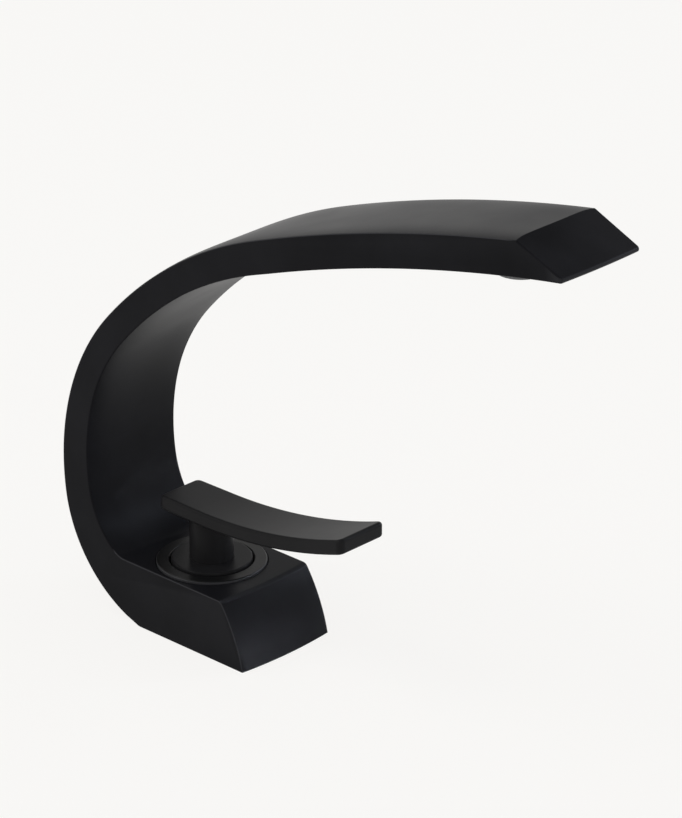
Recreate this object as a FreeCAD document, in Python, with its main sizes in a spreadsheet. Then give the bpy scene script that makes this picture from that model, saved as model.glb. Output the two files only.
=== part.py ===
import FreeCAD, Part
import math
import os
import re
import Sketcher

# Single-lever basin mixer: a flat crescent body that stands on its base, a lever on a round stem,
# a ceramic disc cartridge in the base and an aerator under the spout.
# Millimetres and degrees. +X runs forward along the spout, +Y across the width, +Z up.
# The origin is on the deck, at the middle of the tap hole.

Vector = FreeCAD.Vector

SIZES = {
    # Base of the body
    "base_heel": 26.5,
    "base_toe": 27.9,
    "base_front_top": 17.2,
    "base_height": 24.1,
    "body_width": 43.4,
    "toe_side_radius": 66.0,
    "toe_plan_radius": 180.0,
    "brow_round": 1.4,
    # Outer line of the crescent: tangent arcs from the heel to the top edge of the spout's end
    "heel_rise_angle": 16.1,
    "heel_radius": 50.4,
    "heel_angle": 66.6,
    "back_radius": 93.5,
    "back_angle": 49.1,
    "shoulder_radius": 182.7,
    "shoulder_angle": 27.7,
    "spout_radius": 663.0,
    "spout_angle": 10.3,
    # Thickness of the crescent, from which its inner line follows
    "back_thickness": 12.8,
    "shoulder_thickness": 11.8,
    "spout_thickness": 13.8,
    "foot_angle": 49.34,
    "foot_bend": 8.0,
    "spout_cut_angle": 22.5,
    "taper_start": 40.0,
    "spout_taper_angle": 1.25,
    "taper_blend": 600.0,
    "edge_round": 0.6,
    "lip_round": 0.8,
    # Waterway in the crescent
    "waterway_wall": 3.4,
    "waterway_depth": 4.6,
    "waterway_width": 24.0,
    "waterway_start_angle": 10.0,
    "waterway_stop": 5.0,
    "outlet_height": 9.0,
    "outlet_radius": 3.0,
    # Underside: hose threads, stud thread and gasket
    "inlet_x": 7.5,
    "inlet_y": 8.5,
    "inlet_radius": 4.5,
    "inlet_depth": 11.0,
    "stud_x": 14.0,
    "stud_radius": 3.4,
    "stud_depth": 12.0,
    "gasket_inner": 18.0,
    "gasket_width": 1.9,
    "gasket_height": 1.4,
    "passage_floor": 1.2,
    "passage_height": 2.8,
    "passage_width": 3.6,
    # Cartridge place in the base
    "valve_x": -10.0,
    "pocket_floor": 5.5,
    "pocket_radius": 12.5,
    "ring_outer": 19.8,
    "ring_hole": 15.1,
    "ring_thickness": 2.5,
    "ring_proud": 0.9,
    "ring_chamfer": 0.4,
    "ring_gap": 0.2,
    # Cartridge
    "cartridge_gap": 0.3,
    "port_x": 4.6,
    "port_y": 4.4,
    "port_radius": 1.8,
    "seal_width": 1.1,
    "seal_height": 1.2,
    "seal_gap": 0.05,
    "base_thickness": 3.0,
    "mix_x": 3.6,
    "mix_radius": 2.2,
    "disc_thickness": 1.8,
    "disc_gap": 0.2,
    "moving_disc_radius": 7.4,
    "mix_recess": 1.0,
    "mix_recess_back": 5.8,
    "mix_recess_front": 0.6,
    "mix_recess_half": 4.0,
    "carrier_thickness": 1.8,
    "carrier_half_width": 6.0,
    "socket_radius": 2.2,
    "housing_wall": 1.4,
    "housing_top": 1.2,
    "sleeve_flange": 1.4,
    "sleeve_lift": 0.3,
    "sleeve_gap": 0.4,
    "neck_radius": 6.4,
    "neck_fit": 0.1,
    "slot_half_width": 2.7,
    "slot_half_length": 7.0,
    "ear_half_width": 2.4,
    "ear_drop": 2.4,
    "o_ring_radius": 0.5,
    "o_ring_depth": 3.2,
    "nut_height": 2.0,
    "nut_lead": 1.0,
    "nut_hole": 8.6,
    "nut_reach": 1.1,
    "nut_gap": 0.1,
    "nut_notch": 2.4,
    "hub_room": 0.3,
    # Pivot of the lever
    "pivot_drop": 2.5,
    "pin_radius": 1.0,
    "pin_half_length": 5.8,
    "pin_fit": 0.03,
    "spindle_half_width": 2.4,
    "eye_radius": 3.2,
    "rod_radius": 1.6,
    "rod_end_gap": 0.4,
    "post_half_width": 3.5,
    "post_clear": 2.7,
    "post_height": 7.8,
    # Hub and lever
    "rim_radius": 14.8,
    "rim_low": 1.5,
    "hub_top": 3.3,
    "hub_round": 0.5,
    "hub_hollow": 7.2,
    "stem_radius": 7.95,
    "stem_height": 16.3,
    "stem_roof": 3.4,
    "post_fit": 0.1,
    "screw_radius": 2.0,
    "screw_fit": 0.1,
    "screw_head_radius": 3.4,
    "screw_head_height": 2.4,
    "screw_depth": 4.0,
    "screw_key": 1.5,
    "grub_height": 4.5,
    "grub_radius": 1.6,
    "grub_length": 2.6,
    "grub_key": 0.8,
    "grub_fit": 0.05,
    "plug_length": 1.2,
    "lever_tail": 16.6,
    "lever_flat": 2.0,
    "lever_reach": 74.0,
    "lever_radius": 214.0,
    "lever_rear_width": 19.8,
    "lever_front_width": 22.2,
    "lever_thickness": 5.5,
    "lever_corner": 2.4,
    "lever_round": 1.2,
    # Aerator
    "aerator_setback": 14.0,
    "aerator_drop": 4.5,
    "nozzle_radius": 10.0,
    "nozzle_mouth": 8.6,
    "nozzle_taper": 2.8,
    "nozzle_height": 6.5,
    "nozzle_lip": 0.8,
    "nozzle_bore": 7.4,
    "nozzle_fit": 0.1,
    "washer_height": 0.6,
    "washer_hole": 7.0,
    "insert_height": 4.0,
    "insert_gap": 0.1,
    "jet_radius": 0.85,
    "jet_inner_circle": 2.6,
    "jet_outer_circle": 5.2,
    "screen_height": 0.6,
    "screen_hole": 1.0,
    "screen_circle": 4.6,
}

INNER_JET_COUNT = 6
OUTER_JET_COUNT = 12
SCREEN_HOLE_COUNT = 10
NUT_NOTCH_COUNT = 4

# How near two places or lengths have to be to count as the same, and the most that a line may lean
# or bend and still count as straight
SAME = 1e-3
STRAIGHT = 1e-6

doc = FreeCAD.newDocument("basin_mixer")
sheet = doc.addObject("Spreadsheet::Sheet", "Sizes")
for row, (alias, number) in enumerate(SIZES.items(), 1):
    sheet.set(f"A{row}", alias)
    sheet.set(f"B{row}", str(number))
    sheet.setAlias(f"B{row}", alias)
doc.recompute()

# Heights and radii that several pieces share, as expressions on the sheet's sizes
RING_TOP = "(base_height + ring_proud)"
RING_SEAT = "(base_height + ring_proud - ring_thickness)"
PIVOT_Z = "(base_height + ring_proud - pivot_drop)"
DISC_Z = "(pocket_floor + base_thickness)"
MOVING_Z = "(pocket_floor + base_thickness + disc_thickness)"
CARRIER_Z = "(pocket_floor + base_thickness + 2 * disc_thickness)"
CARRIER_TOP = f"({CARRIER_Z} + carrier_thickness)"
SLEEVE_Z = f"({CARRIER_Z} + sleeve_lift)"
FLANGE_Z = f"({CARRIER_TOP} + sleeve_lift)"
FLANGE_TOP = f"({FLANGE_Z} + sleeve_flange)"
HOUSING_ROOF = f"({FLANGE_TOP} + sleeve_lift)"
HOUSING_TOP = f"({HOUSING_ROOF} + housing_top)"
NUT_TOP = f"({HOUSING_TOP} + nut_height)"
O_RING_Z = f"({HOUSING_TOP} - o_ring_depth)"
CARTRIDGE_RADIUS = "(pocket_radius - cartridge_gap)"
HOUSING_BORE = "(pocket_radius - cartridge_gap - housing_wall)"
NUT_RADIUS = "(pocket_radius + nut_reach)"
HUB_BORE = "(ring_hole + hub_room)"
EAR_TOP = f"({PIVOT_Z} + ear_half_width)"
POST_Z = f"({PIVOT_Z} + post_clear)"
HUB_TOP = f"({PIVOT_Z} + hub_top)"
STEM_TOP = f"({HUB_TOP} + stem_height)"
SCREW_SEAT = f"({STEM_TOP} - stem_roof)"
GRUB_Z = f"({POST_Z} + grub_height)"
SOCKET_HALF = "(post_half_width + post_fit)"


def bound(text):
    """Expression with every size name pointed at the sheet."""
    return re.sub(r"[a-z]\w*(?!\w*\()", r"Sizes.\g<0>", text)


def value(text):
    """Number that an expression on the sizes gives."""
    return float(sheet.evalExpression(bound(text)))


def bind(thing, prop, text):
    thing.setExpression(prop, bound(text))


def new_body(label, x="0", z="0"):
    """Body whose own Z axis stands at x in the plane of symmetry, from height z."""
    body = doc.addObject("PartDesign::Body", label)
    body.Label = label
    bind(body, "Placement.Base.x", x)
    bind(body, "Placement.Base.z", z)
    return body


def new_sketch(body, role, height=None):
    """Sketch on one of the body's origin planes, or that far along the plane's normal."""
    sketch = body.newObject("Sketcher::SketchObject", body.Label + "_sketch")
    plane = next(item for item in body.Origin.OriginFeatures if item.Role == role)
    sketch.AttachmentSupport = (plane, [""])
    sketch.MapMode = "FlatFace"
    if height:
        bind(sketch, "AttachmentOffset.Base.z", height)
    return sketch


def pin_point(sketch, edge, end, x, y):
    """Hold one end of a sketch edge at two expressions; a plain 0 puts it on the axis."""
    for kind, axis, text in (("DistanceX", -2, x), ("DistanceY", -1, y)):
        if text == "0":
            sketch.addConstraint(Sketcher.Constraint("PointOnObject", edge, end, axis))
        else:
            index = sketch.addConstraint(Sketcher.Constraint(kind, -1, 1, edge, end, value(text)))
            bind(sketch, f"Constraints[{index}]", text)


def arc_between(start, end, radius, turn):
    """Arc under a half circle from start to end; turn is 1 anticlockwise and -1 clockwise."""
    chord = end - start
    middle = (start + end) * 0.5
    reach = math.sqrt(radius ** 2 - chord.Length ** 2 / 4)
    side = Vector(-chord.y, chord.x, 0).normalize()
    centre = middle + side * reach * turn
    first, last = (start, end) if turn > 0 else (end, start)
    circle = Part.Circle(centre, Vector(0, 0, 1), radius)
    angles = [math.atan2(point.y - centre.y, point.x - centre.x) for point in (first, last)]
    return Part.ArcOfCircle(circle, angles[0], angles[1])


def outline(sketch, points, arcs=None):
    """Closed outline through (x, y) expressions. arcs maps a point's number to the radius and the
    turn of the arc that leaves it; the other stretches are straight."""
    arcs = arcs or {}
    first = sketch.GeometryCount
    count = len(points)
    places = [Vector(value(x), value(y), 0) for x, y in points]
    starts = []
    for i in range(count):
        start, end = places[i], places[(i + 1) % count]
        if i in arcs:
            radius, turn = arcs[i]
            edge = sketch.addGeometry(arc_between(start, end, value(radius), turn))
            starts.append((1, 2) if turn > 0 else (2, 1))
            index = sketch.addConstraint(Sketcher.Constraint("Radius", edge, value(radius)))
            bind(sketch, f"Constraints[{index}]", radius)
        else:
            sketch.addGeometry(Part.LineSegment(start, end))
            starts.append((1, 2))
    for i, (x, y) in enumerate(points):
        following = (i + 1) % count
        joined = (first + i, starts[i][1], first + following, starts[following][0])
        sketch.addConstraint(Sketcher.Constraint("Coincident", *joined))
        pin_point(sketch, first + i, starts[i][0], x, y)
    return sketch


def box_outline(sketch, low_x, high_x, low_y, high_y):
    return outline(sketch, [(low_x, low_y), (high_x, low_y), (high_x, high_y), (low_x, high_y)])


def circle(sketch, x, y, radius):
    edge = sketch.addGeometry(Part.Circle(Vector(value(x), value(y), 0), Vector(0, 0, 1), value(radius)))
    index = sketch.addConstraint(Sketcher.Constraint("Radius", edge, value(radius)))
    bind(sketch, f"Constraints[{index}]", radius)
    pin_point(sketch, edge, 3, x, y)
    return sketch


def pad(body, sketch, length, symmetric=False, back=False):
    feature = body.newObject("PartDesign::Pad", body.Label + "_pad")
    feature.Profile = sketch
    bind(feature, "Length", length)
    feature.SideType = "Symmetric" if symmetric else "One side"
    feature.Reversed = back
    doc.recompute()
    return feature


def checked_cut(body, feature, before):
    """Cut that has to take material away."""
    doc.recompute()
    if not body.Shape.Volume < before:
        raise RuntimeError(f"{feature.Label} cuts nothing")
    return feature


def pocket(body, sketch, length=None, symmetric=False, up=False):
    """Cut along the sketch plane's normal when up, against it otherwise; through all with no length."""
    before = body.Shape.Volume
    feature = body.newObject("PartDesign::Pocket", body.Label + "_pocket")
    feature.Profile = sketch
    if length:
        bind(feature, "Length", length)
    else:
        feature.Type = "ThroughAll"
    feature.SideType = "Symmetric" if symmetric else "One side"
    feature.Reversed = up
    return checked_cut(body, feature, before)


def groove(body, sketch, axis="V_Axis"):
    """Cut turned round an axis of the sketch."""
    before = body.Shape.Volume
    feature = body.newObject("PartDesign::Groove", body.Label + "_groove")
    feature.Profile = sketch
    feature.ReferenceAxis = (sketch, [axis])
    feature.Angle = 360.0
    return checked_cut(body, feature, before)


def turned(label, points, x="valve_x", z="0", arcs=None):
    """Body of revolution round its own Z axis, from (radius, height) expressions."""
    body = new_body(label, x, z)
    sketch = outline(new_sketch(body, "XZ_Plane"), points, arcs)
    feature = body.newObject("PartDesign::Revolution", label + "_turn")
    feature.Profile = sketch
    feature.ReferenceAxis = (sketch, ["V_Axis"])
    feature.Angle = 360.0
    doc.recompute()
    return body


def polar(body, feature, copies):
    """Repeat a cut round the body's Z axis."""
    pattern = body.newObject("PartDesign::PolarPattern", body.Label + "_pattern")
    pattern.Originals = [feature]
    axis = next(item for item in body.Origin.OriginFeatures if item.Role == "Z_Axis")
    pattern.Axis = (axis, [""])
    pattern.Angle = 360.0
    pattern.Occurrences = copies
    body.Tip = pattern
    doc.recompute()
    return pattern


def round_edges(body, radius, wanted):
    """Fillet on every edge of the body's last solid that the test wants."""
    tip = body.Tip
    names = [f"Edge{i}" for i, edge in enumerate(tip.Shape.Edges, 1) if wanted(edge)]
    if not names:
        raise RuntimeError(f"{body.Label} has no edge to round")
    feature = body.newObject("PartDesign::Fillet", body.Label + "_round")
    feature.Base = (tip, names)
    bind(feature, "Radius", radius)
    doc.recompute()
    return feature


def axis_line(sketch, x):
    """Upright construction line, the sketch's first, to turn a cut round."""
    place = value(x)
    edge = sketch.addGeometry(Part.LineSegment(Vector(place, 0, 0), Vector(place, 1, 0)), True)
    pin_point(sketch, edge, 1, x, "0")
    sketch.addConstraint(Sketcher.Constraint("Vertical", edge))
    return "Axis0"


class Crescent:
    """The crescent's tangent arcs, in the XZ plane. Each arc has a centre, a radius and the angles
    of its outward normal at the start and at the end."""

    def __init__(self):
        heading = math.radians(180 - value("heel_rise_angle"))
        point = Vector(-value("base_heel"), 0, 0)
        self.outer = []
        for name in ("heel", "back", "shoulder", "spout"):
            radius = value(name + "_radius")
            sweep = math.radians(value(name + "_angle"))
            start = heading + math.pi / 2
            centre = point - self.along(start) * radius
            self.outer.append((centre, radius, start, start - sweep))
            heading -= sweep
            point = centre + self.along(start - sweep) * radius
        self.tip = point
        self.inner = self.inner_arcs()

    @staticmethod
    def along(angle):
        return Vector(math.cos(angle), math.sin(angle), 0)

    def inner_arcs(self):
        """Back, shoulder and spout arcs set in and shifted together, so that the three thicknesses
        hold where the outer line faces backward, halfway up and upward."""
        back, shoulder, spout = (value(n + "_thickness") for n in ("back", "shoulder", "spout"))
        slant = math.sqrt(0.5)
        inset = (slant * (back + spout) - shoulder) / (2 * slant - 1)
        shift = Vector(back - inset, inset - spout, 0)
        return [(c + shift, r - inset, start, end) for c, r, start, end in self.outer[1:]]

    def band(self, inset):
        """The outer arcs, set in by a distance."""
        return [(c, r - inset, start, end) for c, r, start, end in self.outer]

    def cut_corner(self):
        """Where the slanted end cut meets the inner line."""
        centre, radius, _, _ = self.inner[-1]
        slope = math.radians(-value("spout_cut_angle"))
        line = self.along(slope)
        offset = self.tip - centre
        across = offset.dot(line)
        rest = offset.dot(offset) - radius ** 2
        return self.tip + line * (-across - math.sqrt(across ** 2 - rest))

    def underside(self, x):
        """Height of the spout's underside at x."""
        centre, radius, _, _ = self.inner[-1]
        return centre.y + math.sqrt(radius ** 2 - (x - centre.x) ** 2)


def arc_edges(sketch, arcs):
    """Chain of clockwise arcs with their radii held; gives the first edge's number."""
    first = sketch.GeometryCount
    for centre, radius, start, end in arcs:
        ring = Part.Circle(centre, Vector(0, 0, 1), radius)
        sketch.addGeometry(Part.ArcOfCircle(ring, end, start))
    for i in range(len(arcs) - 1):
        sketch.addConstraint(Sketcher.Constraint("Tangent", first + i, 1, first + i + 1, 2))
    return first


def hold_radius(sketch, edge, text):
    index = sketch.addConstraint(Sketcher.Constraint("Radius", edge, value(text)))
    bind(sketch, f"Constraints[{index}]", text)


crescent = Crescent()
AERATOR_X = crescent.tip.x - value("aerator_setback")
AERATOR_Z = crescent.underside(AERATOR_X) - value("aerator_drop")


def side_profile(body):
    """Side view of the whole casting: base, inner line, slanted end and outer line."""
    sketch = new_sketch(body, "XZ_Plane")
    height = value("base_height")
    toe = value("base_toe")
    heel = Vector(-value("base_heel"), 0, 0)
    centre, radius, start, _ = crescent.inner[0]
    wall_foot = centre + crescent.along(start) * radius
    low = start + math.radians(value("foot_angle"))
    foot_radius = (wall_foot.y - height) / (math.sin(start) - math.sin(low))
    bend = wall_foot - crescent.along(start) * foot_radius
    foot = bend + crescent.along(low) * foot_radius
    corner = crescent.cut_corner()
    spout_centre, spout_radius, spout_start, _ = crescent.inner[-1]
    reach = corner - spout_centre
    inner = crescent.inner[:-1]
    inner.append((spout_centre, spout_radius, spout_start, math.atan2(reach.y, reach.x)))
    for ends in ((heel, Vector(toe, 0, 0)), (Vector(toe, 0, 0), Vector(toe, height, 0)),
                 (Vector(toe, height, 0), foot), (corner, crescent.tip)):
        sketch.addGeometry(Part.LineSegment(*ends))
    bottom, front, top, cut = range(4)
    wall = arc_edges(sketch, [(bend, foot_radius, low, start)] + inner)
    wall_end = wall + len(inner)
    skin = arc_edges(sketch, crescent.outer)
    skin_end = skin + len(crescent.outer) - 1
    for one, one_end, other, other_end in (
        (bottom, 2, front, 1), (front, 2, top, 1), (top, 2, wall, 2), (wall_end, 1, cut, 1),
        (cut, 2, skin_end, 1), (skin, 2, bottom, 1),
    ):
        sketch.addConstraint(Sketcher.Constraint("Coincident", one, one_end, other, other_end))
    pin_point(sketch, bottom, 1, "-base_heel", "0")
    pin_point(sketch, bottom, 2, "base_toe", "0")
    pin_point(sketch, top, 1, "base_toe", "base_height")
    sketch.addConstraint(Sketcher.Constraint("Horizontal", top))
    for i, name in enumerate(("heel", "back", "shoulder", "spout")):
        hold_radius(sketch, skin + i, name + "_radius")
    return sketch, foot, corner


def crossing_edge(place):
    """Test for the straight edge across the width through a point of the side view."""
    def wanted(edge):
        box = edge.BoundBox
        level = box.XLength < STRAIGHT and box.ZLength < STRAIGHT
        return level and math.hypot(box.XMin - place.x, box.ZMin - place.y) < SAME
    return wanted


def shape_toe(body):
    """Front of the base, convex from the side and from above, with a rounded brow."""
    sketch = new_sketch(body, "XZ_Plane")
    axis = axis_line(sketch, "base_toe - toe_plan_radius")
    far = "base_toe + body_width"
    outline(
        sketch,
        [("base_toe", "0"), (far, "0"), (far, "base_height"), ("base_front_top", "base_height")],
        {3: ("toe_side_radius", -1)},
    )
    groove(body, sketch, axis)
    top = value("base_height")
    front = value("base_front_top")

    def brow(edge):
        box = edge.BoundBox
        level = abs(box.ZMin - top) < SAME and abs(box.ZMax - top) < SAME
        return level and abs(box.XMax - front) < SAME

    round_edges(body, "brow_round", brow)


def trim_sides(body, corner):
    """Both sides of the casting: straight along the base and the back, then drawn in towards the
    spout's end, with a gentle blend between."""
    margin = value("body_width")
    centre, radius, _, _ = crescent.outer[1]
    rear = f"{centre.x - radius - margin:.6f}"
    far = f"{corner.x + margin:.6f}"
    run = "(taper_blend * tan(spout_taper_angle / 2))"
    sketch = new_sketch(body, "XY_Plane")
    for side, turn in (("", -1), ("-", 1)):
        plan = [
            (rear, "body_width / 2"), (f"taper_start - {run}", "body_width / 2"),
            (f"taper_start + {run} * cos(spout_taper_angle)",
             f"body_width / 2 - {run} * sin(spout_taper_angle)"),
            (far, f"body_width / 2 - ({far} - taper_start) * tan(spout_taper_angle)"),
            (far, "2 * body_width"), (rear, "2 * body_width"),
        ]
        outline(sketch, [(x, f"{side}({y})") for x, y in plan], {1: ("taper_blend", turn)})
    pocket(body, sketch, up=True)


def side_edges(body):
    """Test for the long edges of the two flat sides, apart from those on the deck."""
    outlines = []
    for face in body.Tip.Shape.Faces:
        normal = face.normalAt(0, 0)
        if abs(normal.y) > 0.99:
            outlines.extend(edge for edge in face.Edges)
    seams = [a for a in outlines if sum(a.isSame(b) for b in outlines) > 1]

    def wanted(edge):
        on_side = any(edge.isSame(other) for other in outlines)
        on_seam = any(edge.isSame(other) for other in seams)
        return on_side and not on_seam and edge.BoundBox.ZMax > SAME
    return wanted


def cut_cartridge_place(body):
    """Turned pocket for the cartridge, its nut, the hub's swing and the cover ring."""
    sketch = new_sketch(body, "XZ_Plane")
    axis = axis_line(sketch, "valve_x")
    nut = f"({NUT_RADIUS})"
    nut_low = f"({HOUSING_TOP} - nut_lead)"
    recess = "(ring_outer + ring_gap)"
    steps = [
        ("0", "pocket_floor"), ("pocket_radius", "pocket_floor"), ("pocket_radius", nut_low),
        (nut, nut_low), (nut, NUT_TOP), (HUB_BORE, NUT_TOP), (HUB_BORE, RING_SEAT),
        (recess, RING_SEAT), (recess, "base_height"), ("0", "base_height"),
    ]
    outline(sketch, [(f"valve_x + {x}", y) for x, y in steps])
    groove(body, sketch, axis)


def cut_underside(body):
    """Hose threads, stud thread, gasket groove and the two inlet passages to the cartridge."""
    for side in ("", "-"):
        inlet = circle(new_sketch(body, "XY_Plane"), "inlet_x", f"{side}inlet_y", "inlet_radius")
        pocket(body, inlet, "inlet_depth", up=True)
        half = "passage_width / 2"
        passage = outline(
            new_sketch(body, "XY_Plane", "passage_floor"),
            [
                ("inlet_x", f"{side}(inlet_y - {half})"), ("inlet_x", f"{side}(inlet_y + {half})"),
                ("valve_x + port_x - port_radius", f"{side}(port_y + {half})"),
                ("valve_x + port_x - port_radius", f"{side}(port_y - {half})"),
            ],
        )
        pocket(body, passage, "passage_height", up=True)
        port = circle(new_sketch(body, "XY_Plane", "passage_floor"), "valve_x + port_x", f"{side}port_y",
                      "port_radius")
        pocket(body, port, "pocket_floor - passage_floor", up=True)
    pocket(body, circle(new_sketch(body, "XY_Plane"), "stud_x", "0", "stud_radius"), "stud_depth", up=True)
    ring = circle(new_sketch(body, "XY_Plane"), "0", "0", "gasket_inner")
    circle(ring, "0", "0", "gasket_inner + gasket_width")
    pocket(body, ring, "gasket_height", up=True)


def cut_waterway(body):
    """Flat channel inside the crescent, from the cartridge's side to the aerator."""
    sketch = new_sketch(body, "XZ_Plane")
    near = crescent.band(value("waterway_wall"))
    deep = crescent.band(value("waterway_wall") + value("waterway_depth"))
    turn = math.radians(value("waterway_start_angle"))
    stop = value("waterway_stop") / value("spout_radius")
    for band in (near, deep):
        centre, radius, start, end = band[0]
        band[0] = (centre, radius, start - turn, end)
        centre, radius, start, end = band[-1]
        band[-1] = (centre, radius, start, end + stop)
    ends = []
    for band in (near, deep):
        first, last = band[0], band[-1]
        ends.append((first[0] + crescent.along(first[2]) * first[1],
                     last[0] + crescent.along(last[3]) * last[1]))
    upper = arc_edges(sketch, near)
    lower = arc_edges(sketch, deep)
    for place in range(2):
        sketch.addGeometry(Part.LineSegment(ends[0][place], ends[1][place]))
    start_line, stop_line = sketch.GeometryCount - 2, sketch.GeometryCount - 1
    for line, one, two, end in ((start_line, upper, lower, 2), (stop_line, upper + 3, lower + 3, 1)):
        sketch.addConstraint(Sketcher.Constraint("Coincident", line, 1, one, end))
        sketch.addConstraint(Sketcher.Constraint("Coincident", line, 2, two, end))
    for i, name in enumerate(("heel", "back", "shoulder", "spout")):
        hold_radius(sketch, upper + i, f"{name}_radius - waterway_wall")
        hold_radius(sketch, lower + i, f"{name}_radius - waterway_wall - waterway_depth")
    pocket(body, sketch, "waterway_width", symmetric=True)
    heel_centre, heel_radius, heel_start, _ = near[0]
    mouth = (heel_centre + crescent.along(heel_start) * (heel_radius - value("waterway_depth") / 2)).x
    outlet = circle(new_sketch(body, "YZ_Plane"), "0", "outlet_height", "outlet_radius")
    pocket(body, outlet, f"{-mouth + value('outlet_radius'):.6f}")


def cut_nozzle_seat(body):
    """Threaded hole for the aerator with a ledge for its washer, open to the waterway."""
    seat = AERATOR_Z + value("nozzle_height") + value("washer_height")
    sketch = new_sketch(body, "XZ_Plane")
    axis = axis_line(sketch, f"{AERATOR_X:.6f}")
    low = f"{AERATOR_Z:.6f}"
    ledge = f"{seat:.6f}"
    roof = f"{seat:.6f} + waterway_depth"
    steps = [
        ("0", low), ("nozzle_radius + nozzle_fit", low), ("nozzle_radius + nozzle_fit", ledge),
        ("washer_hole", ledge), ("washer_hole", roof), ("0", roof),
    ]
    outline(sketch, [(f"{AERATOR_X:.6f} + {x}", y) for x, y in steps])
    groove(body, sketch, axis)


def make_body():
    body = new_body("body")
    sketch, foot, corner = side_profile(body)
    pad(body, sketch, "2 * body_width", symmetric=True)
    round_edges(body, "foot_bend", crossing_edge(foot))
    round_edges(body, "lip_round", crossing_edge(corner))
    shape_toe(body)
    trim_sides(body, corner)
    round_edges(body, "edge_round", side_edges(body))
    cut_cartridge_place(body)
    cut_underside(body)
    cut_waterway(body)
    cut_nozzle_seat(body)
    return body


def ring(inner, outer, low, high):
    """Half section of a plain ring, or of a disc where inner is 0."""
    return [(inner, low), (outer, low), (outer, high), (inner, high)]


def make_base_pieces():
    """Gasket under the base and the flat ring round the handle."""
    turned("base_gasket", ring("gasket_inner + seal_gap", "gasket_inner + gasket_width - seal_gap",
                               "0", "gasket_height"), x="0")
    low_edge = f"{RING_TOP} - ring_chamfer"
    turned("cover_ring", [
        ("ring_hole", RING_SEAT), ("ring_outer", RING_SEAT), ("ring_outer", low_edge),
        ("ring_outer - ring_chamfer", RING_TOP), ("ring_hole + ring_chamfer", RING_TOP),
        ("ring_hole", low_edge),
    ])


def port_circles(body, height, radius):
    """The two inlet ports, drawn on a level of the body."""
    sketch = circle(new_sketch(body, "XY_Plane", height), "port_x", "port_y", radius)
    return circle(sketch, "port_x", "-port_y", radius)


def make_cartridge_base():
    """Foot of the cartridge: two sealed inlets and an outlet that is open to its rear."""
    base = turned("cartridge_base", ring("0", CARTRIDGE_RADIUS, "pocket_floor", DISC_Z))
    pocket(base, port_circles(base, "pocket_floor", "port_radius"), up=True)
    seats = port_circles(base, "pocket_floor", "port_radius + seal_width + seal_gap")
    pocket(base, seats, "seal_height", up=True)
    notch = new_sketch(base, "XY_Plane", "pocket_floor")
    box_outline(notch, "-pocket_radius", "mix_radius - mix_x", "-mix_radius", "mix_radius")
    pocket(base, notch, up=True)


def seal_ring(side):
    """One rubber ring at an inlet port."""
    tools = []
    for radius in ("port_radius + seal_width", "port_radius"):
        tool = doc.addObject("Part::Cylinder", "seal_tool")
        bind(tool, "Radius", radius)
        bind(tool, "Height", "seal_height")
        bind(tool, "Placement.Base.x", "valve_x + port_x")
        bind(tool, "Placement.Base.y", f"{side}port_y")
        bind(tool, "Placement.Base.z", "pocket_floor")
        tools.append(tool)
    seal = doc.addObject("Part::Cut", "seal_ring")
    seal.Base, seal.Tool = tools
    return seal


def make_cartridge_seals():
    seals = doc.addObject("Part::Compound", "inlet_seals")
    seals.Label = "inlet_seals"
    seals.Links = [seal_ring(side) for side in ("", "-")]
    o_ring = doc.addObject("Part::Torus", "cartridge_o_ring")
    o_ring.Label = "cartridge_o_ring"
    bind(o_ring, "Radius1", "pocket_radius - o_ring_radius")
    bind(o_ring, "Radius2", "o_ring_radius - seal_gap")
    bind(o_ring, "Placement.Base.x", "valve_x")
    bind(o_ring, "Placement.Base.z", O_RING_Z)


def make_cartridge_shell():
    """Housing with its seal groove, and the ring nut that holds it down."""
    half = "(o_ring_radius + seal_gap)"
    groove_floor = "pocket_radius - 2 * o_ring_radius"
    neck_hole = "neck_radius + neck_fit"
    turned("cartridge_housing", [
        (HOUSING_BORE, DISC_Z), (CARTRIDGE_RADIUS, DISC_Z), (CARTRIDGE_RADIUS, f"{O_RING_Z} - {half}"),
        (groove_floor, f"{O_RING_Z} - {half}"), (groove_floor, f"{O_RING_Z} + {half}"),
        (CARTRIDGE_RADIUS, f"{O_RING_Z} + {half}"), (CARTRIDGE_RADIUS, HOUSING_TOP),
        (neck_hole, HOUSING_TOP), (neck_hole, HOUSING_ROOF), (HOUSING_BORE, HOUSING_ROOF),
    ])
    nut = turned("cartridge_nut", ring("nut_hole", f"{NUT_RADIUS} - nut_gap", HOUSING_TOP, NUT_TOP))
    notch = new_sketch(nut, "XY_Plane", NUT_TOP)
    box_outline(notch, "nut_hole - nut_notch", "nut_hole + nut_notch / 2", "-nut_notch / 2", "nut_notch / 2")
    polar(nut, pocket(nut, notch, "nut_height / 2"), NUT_NOTCH_COUNT)


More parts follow.
